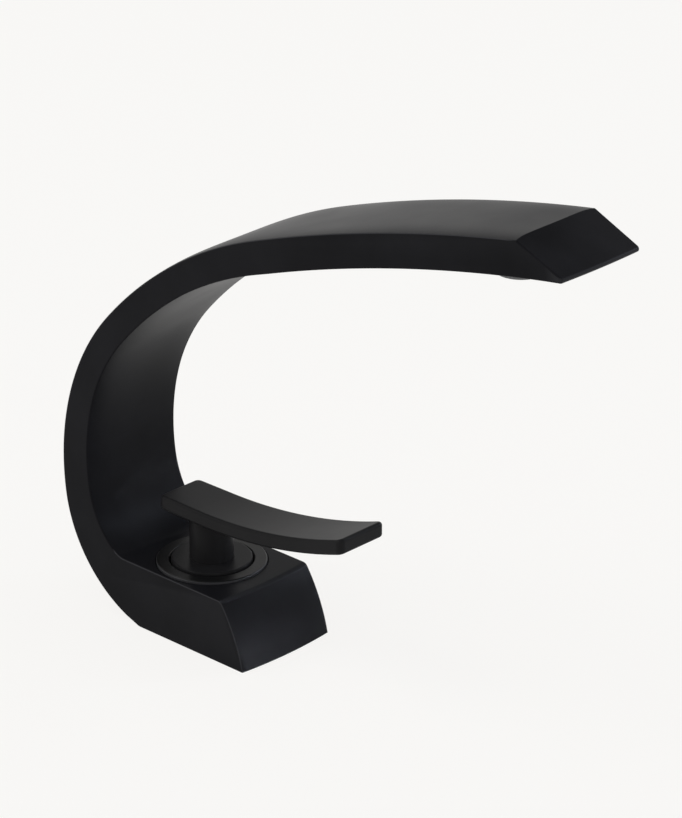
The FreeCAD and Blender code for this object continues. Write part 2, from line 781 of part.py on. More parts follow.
def make_discs():
    """Fixed disc with two inlets and the outlet, moving disc with the hollow that joins them when it
    slides forward, and the carrier that the spindle pushes."""
    fixed = turned("fixed_ceramic_disc", ring("0", f"{HOUSING_BORE} - disc_gap", DISC_Z, MOVING_Z))
    openings = port_circles(fixed, DISC_Z, "port_radius")
    pocket(fixed, circle(openings, "-mix_x", "0", "mix_radius"), up=True)
    moving = turned("moving_ceramic_disc", ring("0", "moving_disc_radius", MOVING_Z, CARRIER_Z))
    hollow = new_sketch(moving, "XY_Plane", MOVING_Z)
    box_outline(hollow, "-mix_recess_back", "mix_recess_front", "-mix_recess_half", "mix_recess_half")
    pocket(moving, hollow, "mix_recess", up=True)
    carrier = turned("disc_carrier", ring("0", "moving_disc_radius", CARRIER_Z, CARRIER_TOP))
    flats = new_sketch(carrier, "XY_Plane", CARRIER_Z)
    reach = "moving_disc_radius"
    box_outline(flats, f"-{reach}", reach, "carrier_half_width", reach)
    box_outline(flats, f"-{reach}", reach, f"-{reach}", "-carrier_half_width")
    pocket(carrier, flats, up=True)
    pocket(carrier, circle(new_sketch(carrier, "XY_Plane", CARRIER_Z), "0", "0", "socket_radius"), up=True)


def make_sleeve():
    """Turning sleeve: a flange that guides the carrier, and two ears for the pivot pin."""
    rim = f"{HOUSING_BORE} - sleeve_gap"
    sleeve = turned("rotating_sleeve", [
        ("0", SLEEVE_Z), (rim, SLEEVE_Z), (rim, FLANGE_TOP), ("neck_radius", FLANGE_TOP),
        ("neck_radius", POST_Z), ("0", POST_Z),
    ])
    guide = "(carrier_half_width + sleeve_lift)"
    channel = new_sketch(sleeve, "XY_Plane", SLEEVE_Z)
    box_outline(channel, "-pocket_radius", "pocket_radius", f"-{guide}", guide)
    pocket(sleeve, channel, "carrier_thickness", up=True)
    slot = new_sketch(sleeve, "XY_Plane", SLEEVE_Z)
    box_outline(slot, "-slot_half_length", "slot_half_length", "-slot_half_width", "slot_half_width")
    pocket(sleeve, slot, up=True)
    ear = "ear_half_width"
    ear_base = f"{PIVOT_Z} - ear_drop"
    side = "neck_radius + sleeve_lift"
    over = f"{POST_Z} + sleeve_lift"
    around = new_sketch(sleeve, "XZ_Plane")
    outline(around, [
        (f"-({side})", ear_base), (f"-{ear}", ear_base), (f"-{ear}", PIVOT_Z), ("0", EAR_TOP),
        (ear, PIVOT_Z), (ear, ear_base), (side, ear_base), (side, over), (f"-({side})", over),
    ], {2: (ear, -1), 3: (ear, -1)})
    pocket(sleeve, around, symmetric=True)
    pin_hole(sleeve)


def pin_hole(body):
    """Hole for the pivot pin, across the body."""
    hole = circle(new_sketch(body, "XZ_Plane"), "0", PIVOT_Z, "pin_radius + pin_fit")
    pocket(body, hole, symmetric=True)


def make_pin():
    pin = doc.addObject("Part::Cylinder", "pivot_pin")
    pin.Label = "pivot_pin"
    bind(pin, "Radius", "pin_radius")
    bind(pin, "Height", "2 * pin_half_length")
    pin.Placement.Rotation = FreeCAD.Rotation(Vector(1, 0, 0), 90)
    bind(pin, "Placement.Base.x", "valve_x")
    bind(pin, "Placement.Base.y", "pin_half_length")
    bind(pin, "Placement.Base.z", PIVOT_Z)


def make_spindle():
    """Rod that reaches into the carrier, eye round the pin and square post for the hub."""
    spindle = turned("spindle", ring("0", "rod_radius", f"{CARRIER_Z} + rod_end_gap", PIVOT_Z))
    eye = circle(new_sketch(spindle, "XZ_Plane"), "0", PIVOT_Z, "eye_radius")
    pad(spindle, eye, "2 * spindle_half_width", symmetric=True)
    post = new_sketch(spindle, "XY_Plane", POST_Z)
    box_outline(post, "-post_half_width", "post_half_width", "-post_half_width", "post_half_width")
    pad(spindle, post, "post_height")
    pin_hole(spindle)


def make_hub():
    """Round stem on a flange disc. The disc's rim is part of a ball about the pivot, so that it keeps
    its distance from the cover ring as it tilts."""
    low = f"{PIVOT_Z} + rim_low"
    high = "(hub_top - hub_round)"
    rim = f"sqrt(rim_radius ^ 2 - {high} ^ 2)"
    screw_hole = "screw_radius + screw_fit"
    hub = turned("handle_hub", [
        ("hub_hollow", low), ("sqrt(rim_radius ^ 2 - rim_low ^ 2)", low), (rim, f"{PIVOT_Z} + {high}"),
        (f"{rim} - hub_round", HUB_TOP), ("stem_radius", HUB_TOP), ("stem_radius", STEM_TOP),
        (screw_hole, STEM_TOP), (screw_hole, SCREW_SEAT), (SOCKET_HALF, SCREW_SEAT), (SOCKET_HALF, POST_Z),
        ("hub_hollow", POST_Z),
    ], arcs={1: ("rim_radius", 1), 2: ("hub_round", 1)})
    socket = new_sketch(hub, "XY_Plane", POST_Z)
    box_outline(socket, f"-{SOCKET_HALF}", SOCKET_HALF, f"-{SOCKET_HALF}", SOCKET_HALF)
    pocket(hub, socket, "post_height + post_fit", up=True)
    pocket(hub, circle(new_sketch(hub, "YZ_Plane"), "0", GRUB_Z, "grub_radius + grub_fit"))


def make_lever():
    """Flat bar, level over the stem and curving up towards the front, where it is a little wider.
    The curved bar is made too long and too wide, then cut to its outline from above."""
    lever = new_body("lever", "valve_x")
    top_radius = "(lever_radius - lever_thickness)"
    centre_z = f"({STEM_TOP} + lever_radius)"
    top = f"{STEM_TOP} + lever_thickness"
    rear, front = "-lever_tail - lever_corner", "lever_reach + lever_corner"
    run = f"({front} - lever_flat)"
    sketch = outline(new_sketch(lever, "XZ_Plane"), [
        (rear, STEM_TOP), ("lever_flat", STEM_TOP),
        (front, f"{centre_z} - sqrt(lever_radius ^ 2 - {run} ^ 2)"),
        (front, f"{centre_z} - sqrt({top_radius} ^ 2 - {run} ^ 2)"),
        ("lever_flat", top), (rear, top),
    ], {1: ("lever_radius", 1), 3: (top_radius, -1)})
    pad(lever, sketch, "lever_front_width + lever_corner", symmetric=True)
    plan = new_sketch(lever, "XY_Plane", STEM_TOP)
    box_outline(plan, "-2 * lever_tail", "2 * lever_reach", "-lever_front_width", "lever_front_width")
    outline(plan, [
        ("-lever_tail", "-lever_rear_width / 2"), ("lever_reach", "-lever_front_width / 2"),
        ("lever_reach", "lever_front_width / 2"), ("-lever_tail", "lever_rear_width / 2"),
    ])
    pocket(lever, plan, up=True)
    flat_end = value("lever_flat")

    def corner(edge):
        box = edge.BoundBox
        return box.XLength < STRAIGHT and box.YLength < STRAIGHT

    def rim(edge):
        box = edge.BoundBox
        seam = box.XLength < STRAIGHT and abs(box.XMin - flat_end) < SAME
        return not seam and not corner(edge)

    round_edges(lever, "lever_corner", corner)
    round_edges(lever, "lever_round", rim)
    hole = circle(new_sketch(lever, "XY_Plane", STEM_TOP), "0", "0", "screw_radius + screw_fit")
    pocket(lever, hole, "screw_depth + screw_fit", up=True)


def hexagon(sketch, x, y, radius):
    """Key hole with corners on a circle."""
    corners = [(f"{x} + {radius} * cos({60 * i})", f"{y} + {radius} * sin({60 * i})") for i in range(6)]
    return outline(sketch, corners)


def make_fasteners():
    """Screw up through the stem's roof into the lever; grub screw and its plug at the stem's back."""
    head = f"({SCREW_SEAT} - screw_head_height)"
    screw = turned("lever_screw", [
        ("0", head), ("screw_head_radius", head), ("screw_head_radius", SCREW_SEAT),
        ("screw_radius", SCREW_SEAT), ("screw_radius", f"{STEM_TOP} + screw_depth"),
        ("0", f"{STEM_TOP} + screw_depth"),
    ])
    pocket(screw, hexagon(new_sketch(screw, "XY_Plane", head), "0", "0", "screw_key"),
           "screw_head_height / 2", up=True)
    outer_end = "-(post_half_width + grub_length)"
    grub = new_body("grub_screw", "valve_x")
    pad(grub, circle(new_sketch(grub, "YZ_Plane", outer_end), "0", GRUB_Z, "grub_radius"), "grub_length")
    key = hexagon(new_sketch(grub, "YZ_Plane", outer_end), "0", GRUB_Z, "grub_key")
    pocket(grub, key, "grub_length / 2", up=True)
    plug = new_body("grub_screw_plug", "valve_x")
    disc = circle(new_sketch(plug, "YZ_Plane", f"{outer_end} - plug_length"), "0", GRUB_Z, "grub_radius")
    pad(plug, disc, "plug_length")


def make_aerator():
    """Nozzle ring screwed into the spout, with its jet insert, screen and washer."""
    place = {"x": f"{AERATOR_X:.6f}", "z": f"{AERATOR_Z:.6f}"}
    mouth = "nozzle_bore - nozzle_lip"
    turned("aerator_housing", [
        (mouth, "0"), ("nozzle_mouth", "0"), ("nozzle_radius", "nozzle_taper"),
        ("nozzle_radius", "nozzle_height"), ("nozzle_bore", "nozzle_height"),
        ("nozzle_bore", "nozzle_lip"), (mouth, "nozzle_lip"),
    ], **place)
    inside = "nozzle_bore - insert_gap"
    insert_top = "nozzle_lip + insert_height"
    insert = turned("aerator_insert", ring("0", inside, "nozzle_lip", insert_top), **place)
    pocket(insert, circle(new_sketch(insert, "XY_Plane", "nozzle_lip"), "0", "0", "jet_radius"), up=True)
    for reach, copies in (("jet_inner_circle", INNER_JET_COUNT), ("jet_outer_circle", OUTER_JET_COUNT)):
        jet = circle(new_sketch(insert, "XY_Plane", "nozzle_lip"), reach, "0", "jet_radius")
        polar(insert, pocket(insert, jet, up=True), copies)
    screen = turned("aerator_screen", ring("0", inside, insert_top, f"{insert_top} + screen_height"), **place)
    mesh = circle(new_sketch(screen, "XY_Plane", insert_top), "screen_circle", "0", "screen_hole")
    polar(screen, pocket(screen, mesh, up=True), SCREEN_HOLE_COUNT)
    turned("aerator_washer", ring("washer_hole", "nozzle_radius", "nozzle_height",
                                  "nozzle_height + washer_height"), **place)


def sub_parts():
    """The document's finished pieces: every body, and the primitives that stand for a piece."""
    plain = ("inlet_seals", "cartridge_o_ring", "pivot_pin")
    return [item for item in doc.Objects if item.TypeId == "PartDesign::Body" or item.Label in plain]


def check_and_write():
    doc.recompute()
    for item in doc.Objects:
        if "Invalid" in item.State or "Error" in item.State:
            raise RuntimeError(f"{item.Label} failed: {item.State}")
    for item in sub_parts():
        if item.Shape.isNull() or not item.Shape.isValid() or not item.Shape.Solids:
            raise RuntimeError(f"{item.Label} has no sound solid")
    os.makedirs("parts", exist_ok=True)
    for item in sub_parts():
        item.Shape.exportStep(f"parts/{item.Label}.step")
        print(f"{item.Label}: {len(item.Shape.Solids)} solid, {item.Shape.Volume:.1f} mm3")


make_body()
make_base_pieces()
make_cartridge_base()
make_cartridge_seals()
make_cartridge_shell()
make_discs()
make_sleeve()
make_pin()
make_spindle()
make_hub()
make_lever()
make_fasteners()
make_aerator()
check_and_write()
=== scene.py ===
import math

import bmesh
import bpy
from mathutils import Matrix, Vector


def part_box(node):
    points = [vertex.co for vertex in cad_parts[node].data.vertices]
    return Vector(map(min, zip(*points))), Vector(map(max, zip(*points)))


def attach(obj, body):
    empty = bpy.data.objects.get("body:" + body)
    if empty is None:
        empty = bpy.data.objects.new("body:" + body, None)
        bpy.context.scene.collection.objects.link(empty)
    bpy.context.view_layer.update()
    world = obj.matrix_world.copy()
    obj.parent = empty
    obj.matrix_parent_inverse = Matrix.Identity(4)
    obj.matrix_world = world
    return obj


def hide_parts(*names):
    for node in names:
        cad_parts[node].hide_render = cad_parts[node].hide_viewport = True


# Matte black basin mixer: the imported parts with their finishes, and a plain studio round them.
# Metres; +X runs forward along the spout, +Z up, and the deck is at z = 0.

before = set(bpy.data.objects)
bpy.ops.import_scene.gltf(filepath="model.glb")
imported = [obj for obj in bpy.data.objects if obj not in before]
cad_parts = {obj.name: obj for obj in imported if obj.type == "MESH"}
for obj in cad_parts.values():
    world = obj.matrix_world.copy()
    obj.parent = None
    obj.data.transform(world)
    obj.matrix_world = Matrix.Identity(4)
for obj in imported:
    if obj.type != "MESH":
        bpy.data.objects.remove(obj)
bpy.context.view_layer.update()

MM = 0.001
VALVE_X = -10 * MM
AERATOR_X = 133.52 * MM
# Tones of the floor with the lower surround, and of the ceiling
PALE, CEILING = (0.962, 0.953, 0.936, 1), (0.25, 0.25, 0.26, 1)
# Point attribute with the share of painted highlight along the body's edges
EDGE_HIGHLIGHT = "painted_edge_highlight"
# Radii between which the cover ring's tone rises to a painted highlight on its rim
RING_HIGHLIGHT = (19.62 * MM, 19.80 * MM)
# How far apart the rings of a wave texture are at scale 1
WAVE_PERIOD = 0.314
# How much of the powder grain goes into the tone of the black coatings
GRAIN_SHARE = 0.35


def fresh_nodes(owner):
    """Empty node tree of a material or world, and the function that adds a node to it."""
    owner.use_nodes = True
    tree = owner.node_tree
    tree.nodes.clear()
    return tree, lambda kind: tree.nodes.new("ShaderNode" + kind)


# Finishes

class Finish:
    """A material under construction: its node tree, its shader and the piece's own coordinates."""

    def __init__(self, name, metallic=0.0, specular=0.5):
        self.material = bpy.data.materials.new(name)
        self.tree, self.add = fresh_nodes(self.material)
        output = self.add("OutputMaterial")
        self.shader = self.add("BsdfPrincipled")
        self.shader.inputs["Metallic"].default_value = metallic
        self.shader.inputs["Specular IOR Level"].default_value = specular
        self.join(self.shader.outputs["BSDF"], output.inputs["Surface"])
        self.place = self.add("TexCoord").outputs["Object"]

    def join(self, source, target):
        self.tree.links.new(source, target)

    def centred(self, x, upright=1):
        """The piece's coordinates measured from an upright axis at x; with upright 0, the height drops out."""
        mapping = self.add("Mapping")
        mapping.inputs["Location"].default_value = (-x, 0, 0)
        mapping.inputs["Scale"].default_value = (1, 1, upright)
        self.join(self.place, mapping.inputs["Vector"])
        return mapping.outputs["Vector"]

    def noise(self, size, detail=2.0):
        """Noise whose patches are about as large as size."""
        node = self.add("TexNoise")
        node.inputs["Scale"].default_value = 1 / size
        node.inputs["Detail"].default_value = detail
        self.join(self.place, node.inputs["Vector"])
        return node.outputs["Fac"]

    def rings(self, pitch, place):
        """Fine circles round the Z axis of a place, as a lathe leaves them."""
        node = self.add("TexWave")
        node.wave_type = "RINGS"
        node.rings_direction = "Z"
        node.inputs["Scale"].default_value = WAVE_PERIOD / pitch
        node.inputs["Distortion"].default_value = 0.6
        node.inputs["Detail"].default_value = 2.0
        self.join(place, node.inputs["Vector"])
        return node.outputs["Fac"]

    def spread(self, amount, low, high, start=0.3, stop=0.7):
        """Amount mapped from start .. stop, which suits a noise, to low .. high."""
        node = self.add("MapRange")
        for name, number in (("From Min", start), ("From Max", stop), ("To Min", low), ("To Max", high)):
            node.inputs[name].default_value = number
        self.join(amount, node.inputs["Value"])
        return node.outputs["Result"]

    def colour(self, amount, *stops, edge=None, highlight_share=None):
        """Base colour along a ramp of (position, colour), and a painted highlight tone mixed in where a mask says.
        """
        node = self.add("ValToRGB")
        ramp = node.color_ramp
        while len(ramp.elements) < len(stops):
            ramp.elements.new(0.5)
        for element, (position, tone) in zip(ramp.elements, stops):
            element.position = position
            element.color = (*tone, 1)
        self.join(amount, node.inputs["Fac"])
        tone = node.outputs["Color"]
        if edge:
            mix = self.add("MixRGB")
            mix.inputs["Color2"].default_value = (*edge, 1)
            self.join(highlight_share, mix.inputs["Fac"])
            self.join(tone, mix.inputs["Color1"])
            tone = mix.outputs["Color"]
        self.join(tone, self.shader.inputs["Base Color"])

    def roughness(self, amount, low, high):
        self.join(self.spread(amount, low, high), self.shader.inputs["Roughness"])

    def relief(self, *layers):
        """Bump from (height, depth in metres, strength) layers."""
        normal = None
        for height, depth, strength in layers:
            node = self.add("Bump")
            node.inputs["Distance"].default_value = depth
            node.inputs["Strength"].default_value = strength
            self.join(height, node.inputs["Height"])
            if normal:
                self.join(normal, node.inputs["Normal"])
            normal = node.outputs["Normal"]
        self.join(normal, self.shader.inputs["Normal"])


def matt_black(name, dark, light, rough, specular, edge=None):
    """Baked matte coating: soft clouds of tone, fine powder grain and a faint orange peel; with edge, a painted
    highlight on the marked edges.
    """
    coat = Finish(name, specular=specular)
    clouds = coat.noise(28 * MM, 3.0)
    grain = coat.noise(0.22 * MM, 2.0)
    peel = coat.noise(1.6 * MM, 1.0)
    mixed = coat.add("Math")
    mixed.operation = "MULTIPLY_ADD"
    mixed.inputs[1].default_value = GRAIN_SHARE
    coat.join(grain, mixed.inputs[0])
    coat.join(clouds, mixed.inputs[2])
    highlight_share = None
    # Painted highlight: the edges marked in the point attribute are lightened towards the edge tone
    if edge:
        mark = coat.add("Attribute")
        mark.attribute_name = EDGE_HIGHLIGHT
        highlight_share = mark.outputs["Fac"]
    coat.colour(mixed.outputs["Value"], (0.42, dark), (0.95, light), edge=edge, highlight_share=highlight_share)
    coat.roughness(clouds, *rough)
    coat.relief((peel, 0.03 * MM, 0.10), (grain, 0.02 * MM, 0.16))
    return coat


def turned_black():
    """Black trim with the circles of its turning still showing faintly under the coating, and a painted highlight
    on its rim.
    """
    coat = Finish("turned_black_trim", specular=0.16)
    lathe = coat.rings(0.35 * MM, coat.centred(VALVE_X))
    grain = coat.noise(0.25 * MM, 2.0)
    reach = coat.add("VectorMath")
    reach.operation = "LENGTH"
    coat.join(coat.centred(VALVE_X, upright=0), reach.inputs[0])
    # Painted highlight: beyond these radii the tone rises to the pale edge tone
    rim = coat.spread(reach.outputs["Value"], 0, 1, *RING_HIGHLIGHT)
    coat.colour(grain, (0.3, (0.0050, 0.0050, 0.0052)), (0.8, (0.0090, 0.0090, 0.0092)),
                edge=(0.06, 0.06, 0.064), highlight_share=rim)
    coat.roughness(lathe, 0.34, 0.42)
    coat.relief((lathe, 0.006 * MM, 0.25), (grain, 0.015 * MM, 0.12))
    return coat


def moulded(name, dark, light, rough):
    """Moulded plastic: near even tone, faint flow marks and a spark-eroded grain."""
    plastic = Finish(name, specular=0.4)
    flow = plastic.noise(6 * MM, 3.0)
    grain = plastic.noise(0.3 * MM, 2.0)
    plastic.colour(flow, (0.3, dark), (0.75, light))
    plastic.roughness(grain, *rough)
    plastic.relief((grain, 0.03 * MM, 0.2))
    return plastic


def turned_metal(name, dark, light, rough):
    """Bare machined metal with lathe circles and a few darker clouds."""
    metal = Finish(name, metallic=1.0)
    lathe = metal.rings(0.25 * MM, metal.centred(VALVE_X))
    clouds = metal.noise(4 * MM, 3.0)
    metal.colour(clouds, (0.25, dark), (0.75, light))
    metal.roughness(lathe, *rough)
    metal.relief((lathe, 0.008 * MM, 0.3))
    return metal


def rubber_black():
    """Moulded rubber with a little dust on it."""
    rubber = Finish("moulded_rubber", specular=0.3)
    dust = rubber.noise(2.5 * MM, 4.0)
    grain = rubber.noise(0.18 * MM, 2.0)
    rubber.colour(dust, (0.35, (0.012, 0.012, 0.012)), (0.8, (0.028, 0.027, 0.026)))
    rubber.roughness(dust, 0.6, 0.78)
    rubber.relief((grain, 0.02 * MM, 0.25))
    return rubber


def fired_ceramic():
    """Lapped ceramic, finely speckled."""
    ceramic = Finish("lapped_ceramic", specular=0.5)
    speckle = ceramic.noise(0.15 * MM, 2.0)
    clouds = ceramic.noise(5 * MM, 2.0)
    ceramic.colour(speckle, (0.3, (0.70, 0.68, 0.63)), (0.7, (0.80, 0.78, 0.74)))
    ceramic.roughness(clouds, 0.16, 0.26)
    ceramic.relief((speckle, 0.004 * MM, 0.1))
    return ceramic


finishes = {
    # The coating's edge tone is a painted highlight, laid where the body marks its edges
    "black_coating": matt_black("matt_black_coating", dark=(0.0070, 0.0070, 0.0083),
                                light=(0.0145, 0.0145, 0.0170), rough=(0.31, 0.37), specular=0.046,
                                edge=(0.050, 0.050, 0.054)),
    "black_handle": matt_black("matt_black_handle", dark=(0.0120, 0.0118, 0.0124),
                               light=(0.0205, 0.0202, 0.0212), rough=(0.34, 0.41), specular=0.065),
    "black_trim": turned_black(),
    "rubber": rubber_black(),
    "brass": turned_metal("machined_brass", dark=(0.50, 0.33, 0.11), light=(0.62, 0.43, 0.17), rough=(0.22, 0.34)),
    "cartridge_plastic": moulded("white_acetal", dark=(0.58, 0.57, 0.54), light=(0.66, 0.65, 0.62),
                                 rough=(0.38, 0.5)),
    "ceramic": fired_ceramic(),
    "steel": turned_metal("stainless_steel", dark=(0.42, 0.42, 0.43), light=(0.55, 0.55, 0.56),
                          rough=(0.24, 0.36)),
    "grey_nozzle": moulded("grey_nozzle_plastic", dark=(0.15, 0.15, 0.155), light=(0.19, 0.19, 0.195),
                           rough=(0.4, 0.52)),
}


def dress_cad_nodes():
    """Give every carried-over solid the finish of its slot in the record."""
    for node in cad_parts.values():
        for place in node.material_slots:
            place.material = finishes[place.material.name].material


# Body

class Crescent:
    """Side outline of the casting, in millimetres: tangent arcs outside, the same arcs set in and
    shifted inside, a slanted end and the base. Arcs are (centre, radius, start, end)."""

    # Ends of the deck face, height of the base and front of its top
    HEEL, TOE, HEIGHT, BROW = -26.5, 27.9, 24.1, 17.2
    # Degrees: slope at the heel, turn of the inner wall's foot, slant of the end
    RISE, FOOT_ANGLE, CUT_ANGLE = 16.1, 49.34, 22.5
    # (radius, sweep in degrees) of heel, back, shoulder and spout
    ARCS = ((50.4, 66.6), (93.5, 49.1), (182.7, 27.7), (663.0, 10.3))
    # Thickness of the arm where it is upright, at 45 degrees and level
    BACK, SHOULDER, SPOUT = 12.8, 11.8, 13.8
    # Bulge of the base's front, from the side and from above
    TOE_RADIUS, TOE_PLAN_RADIUS = 66.0, 180.0
    # Length of the pieces that the runs are divided into
    STEP = 2.0

    def __init__(self):
        normal = math.radians(270 - self.RISE)
        point = Vector((self.HEEL, 0))
        self.outer = []
        for radius, sweep in self.ARCS:
            centre = point - self.along(normal) * radius
            end = normal - math.radians(sweep)
            self.outer.append((centre, radius, normal, end))
            point = centre + self.along(end) * radius
            normal = end
        self.tip = point
        slant = math.sqrt(0.5)
        depth = (slant * (self.BACK + self.SPOUT) - self.SHOULDER) / (2 * slant - 1)
        shift = Vector((self.BACK - depth, depth - self.SPOUT))
        self.inner = [(c + shift, r - depth, a, b) for c, r, a, b in self.outer[1:]]

    @staticmethod
    def along(angle):
        return Vector((math.cos(angle), math.sin(angle)))

    def sampled(self, arc):
        """Points along an arc."""
        centre, radius, start, end = arc
        count = max(4, round(abs(end - start) * radius / self.STEP))
        return [centre + self.along(start + (end - start) * i / count) * radius for i in range(count + 1)]

    def foot_arc(self):
        """From the base's top up to the foot of the inner wall."""
        centre, radius, start, _ = self.inner[0]
        wall = centre + self.along(start) * radius
        low = start + math.radians(self.FOOT_ANGLE)
        bend = (wall.y - self.HEIGHT) / (math.sin(start) - math.sin(low))
        return wall - self.along(start) * bend, bend, low, start

    def toe_arc(self):
        """Convex front of the base, from the deck up to the brow."""
        low, high = Vector((self.TOE, 0)), Vector((self.BROW, self.HEIGHT))
        chord = high - low
        reach = math.sqrt(self.TOE_RADIUS ** 2 - chord.length ** 2 / 4)
        centre = (low + high) / 2 + Vector((-chord.y, chord.x)).normalized() * reach
        angles = [math.atan2(p.y - centre.y, p.x - centre.x) for p in (low, high)]
        return centre, self.TOE_RADIUS, angles[0], angles[1]

    def end_corner(self):
        """Where the slanted end meets the underside."""
        centre, radius, _, _ = self.inner[-1]
        line = self.along(-math.radians(self.CUT_ANGLE))
        offset = self.tip - centre
        across = offset.dot(line)
        return self.tip + line * (-across - math.sqrt(across ** 2 - offset.dot(offset) + radius ** 2))

    def outline(self):
        """Runs of points round the outline, anticlockwise from the heel; the first is the deck face."""
        corner = self.end_corner()
        centre, radius, start, _ = self.inner[-1]
        reach = corner - centre
        underside = (centre, radius, start, math.atan2(reach.y, reach.x))
        wall = []
        for arc in [self.foot_arc(), *self.inner[:-1], underside]:
            wall += self.sampled(arc)[1 if wall else 0:]
        skin = []
        for arc in self.outer:
            skin += self.sampled(arc)[1 if skin else 0:]
        deck = divided(Vector((self.HEEL, 0)), Vector((self.TOE, 0)), self.STEP)
        front = self.sampled(self.toe_arc())
        top = divided(front[-1], wall[0], self.STEP)
        end = divided(corner, self.tip, self.STEP)
        return deck, front, top, wall, end, skin[::-1]


def divided(start, end, step):
    """Points along a straight run."""
    count = max(2, round((end - start).length / step))
    return [start.lerp(end, i / count) for i in range(count + 1)]


def set_in(run, amount):
    """Run of points moved to its left, each by amount(point)."""
    moved = []
    for i, point in enumerate(run):
        way = (run[min(i + 1, len(run) - 1)] - run[max(i - 1, 0)]).normalized()
        moved.append(point + Vector((-way.y, way.x)) * amount(point))
    return moved


def meeting(before, after):
    """Where the last stretch of a run crosses the first stretch of the next."""
    way, across = before[-1] - before[-2], after[1] - after[0]
    return before[-1] + way * ((after[0] - before[-1]).cross(across) / way.cross(across))


def rounded(ahead, corner, behind, radius, steps=6):
    """Points of a round corner between two straight stretches; the corner itself with no radius."""
    if not radius:
        return [corner]
    one, two = (ahead - corner).normalized(), (behind - corner).normalized()
    half = one.angle(two) / 2
    centre = corner + (one + two).normalized() * radius / math.sin(half)
    start = corner + one * radius / math.tan(half) - centre
    stop = corner + two * radius / math.tan(half) - centre
    first = math.atan2(start.y, start.x)
    turn = math.atan2(start.cross(stop), start.dot(stop))
    return [centre + Crescent.along(first + turn * i / steps) * radius for i in range(steps + 1)]


HALF_WIDTH = 21.7
# Where the spout begins to narrow, by what angle a side, and the radius that eases into it
TAPER_START, TAPER, TAPER_BLEND = 40.0, math.radians(1.25), 600.0
EDGE_ROUND = 0.5
TOE_AXIS = Crescent.TOE - Crescent.TOE_PLAN_RADIUS
# Slices across the flat width, and round each edge
FLAT_SLICES, EDGE_SLICES = 26, 6
# How far the crowned faces fall away from the middle to the edges, and how late
CROWN, WALL_CROWN, END_CROWN = 0.6, 0.7, 0.3
CROWN_POWER, WALL_POWER, END_POWER = 6, 4, 2
# Height where a crown starts and the height over which it grows; the wall's fades out towards its reach in x
CROWN_START, CROWN_GROWTH = 60, 80
WALL_START, WALL_GROWTH, WALL_REACH = 45, 40, 40
# Runs whose side edges get no painted highlight
UNHIGHLIGHTED_RUNS = ("wall", "end")
# At the end of each run of the outline: the round, how much of the run is left to it, and the strength of the
# painted highlight on it
CORNERS = {"deck": (0, 4, 0), "front": (2.4, 4, 0.40), "top": (8.0, 4, 0), "wall": (1.05, 10, 0.6),
           "end": (0.6, 3, 0.2), "skin": (0, 4.5, 0)}


def half_width(x):
    """Half the casting's width at x."""
    run = TAPER_BLEND * math.tan(TAPER / 2)
    if x > TAPER_START + run:
        return HALF_WIDTH - (x - TAPER_START) * math.tan(TAPER)
    return HALF_WIDTH - max(0, x - TAPER_START + run) ** 2 / (2 * TAPER_BLEND)


def cross_slices():
    """Slices across the width: (share of the flat width, sideways share and drop of the edge round)."""
    turns = [math.pi / 2 * i / EDGE_SLICES for i in range(1, EDGE_SLICES + 1)]
    edge = [(math.sin(turn), 1 - math.cos(turn)) for turn in turns]
    middle = [(-math.cos(math.pi * i / FLAT_SLICES), 0, 0) for i in range(FLAT_SLICES + 1)]
    return [(-1, -s, d) for s, d in reversed(edge)] + middle + [(1, s, d) for s, d in edge]


def grown(amount, span):
    """Share from 0 to 1 as an amount grows over a span."""
    return min(1.0, max(0.0, amount / span))


def inset(name, point, flat, drop):
    """How far the crown and the edge round set a run in, at a point of it in one slice."""
    edge = EDGE_ROUND * drop
    if name == "skin":
        return CROWN * grown(point.y - CROWN_START, CROWN_GROWTH) * flat ** CROWN_POWER + edge
    if name == "wall":
        arch = grown(point.y - WALL_START, WALL_GROWTH) * grown(WALL_REACH - point.x, WALL_REACH)
        return WALL_CROWN * arch * flat ** WALL_POWER + edge
    if name == "end":
        return END_CROWN * flat ** END_POWER + edge
    return 0 if name == "deck" else edge


def slice_outline(runs, flat, drop):
    """Side outline of one slice, set in by the crown and the edge round: (run's name, point, share of painted
    highlight).
    """
    names = list(runs)
    moved = {name: set_in(run, lambda point: inset(name, point, flat, drop)) for name, run in runs.items()}
    inside = {}
    for i, name in enumerate(names):
        run, before, after = runs[name], CORNERS[names[i - 1]][1], CORNERS[name][1]
        inside[name] = [moved[name][k] for k, point in enumerate(run)
                        if (point - run[0]).length > before and (point - run[-1]).length > after]
    outline = []
    for i, name in enumerate(names):
        follower = names[(i + 1) % len(names)]
        corner = meeting(moved[name], moved[follower])
        outline += [(name, point, 0) for point in inside[name]]
        radius, _, share = CORNERS[name]
        bend = rounded(inside[name][-1], corner, inside[follower][0], radius)
        face = next((side for side in ("front", "end") if side in (name, follower)), name)
        for k, point in enumerate(bend):
            # Corner rounds of the outline get a painted highlight, strongest in their middle
            outline.append((face, point, share * math.sin(math.pi * k / max(1, len(bend) - 1))))
    return outline


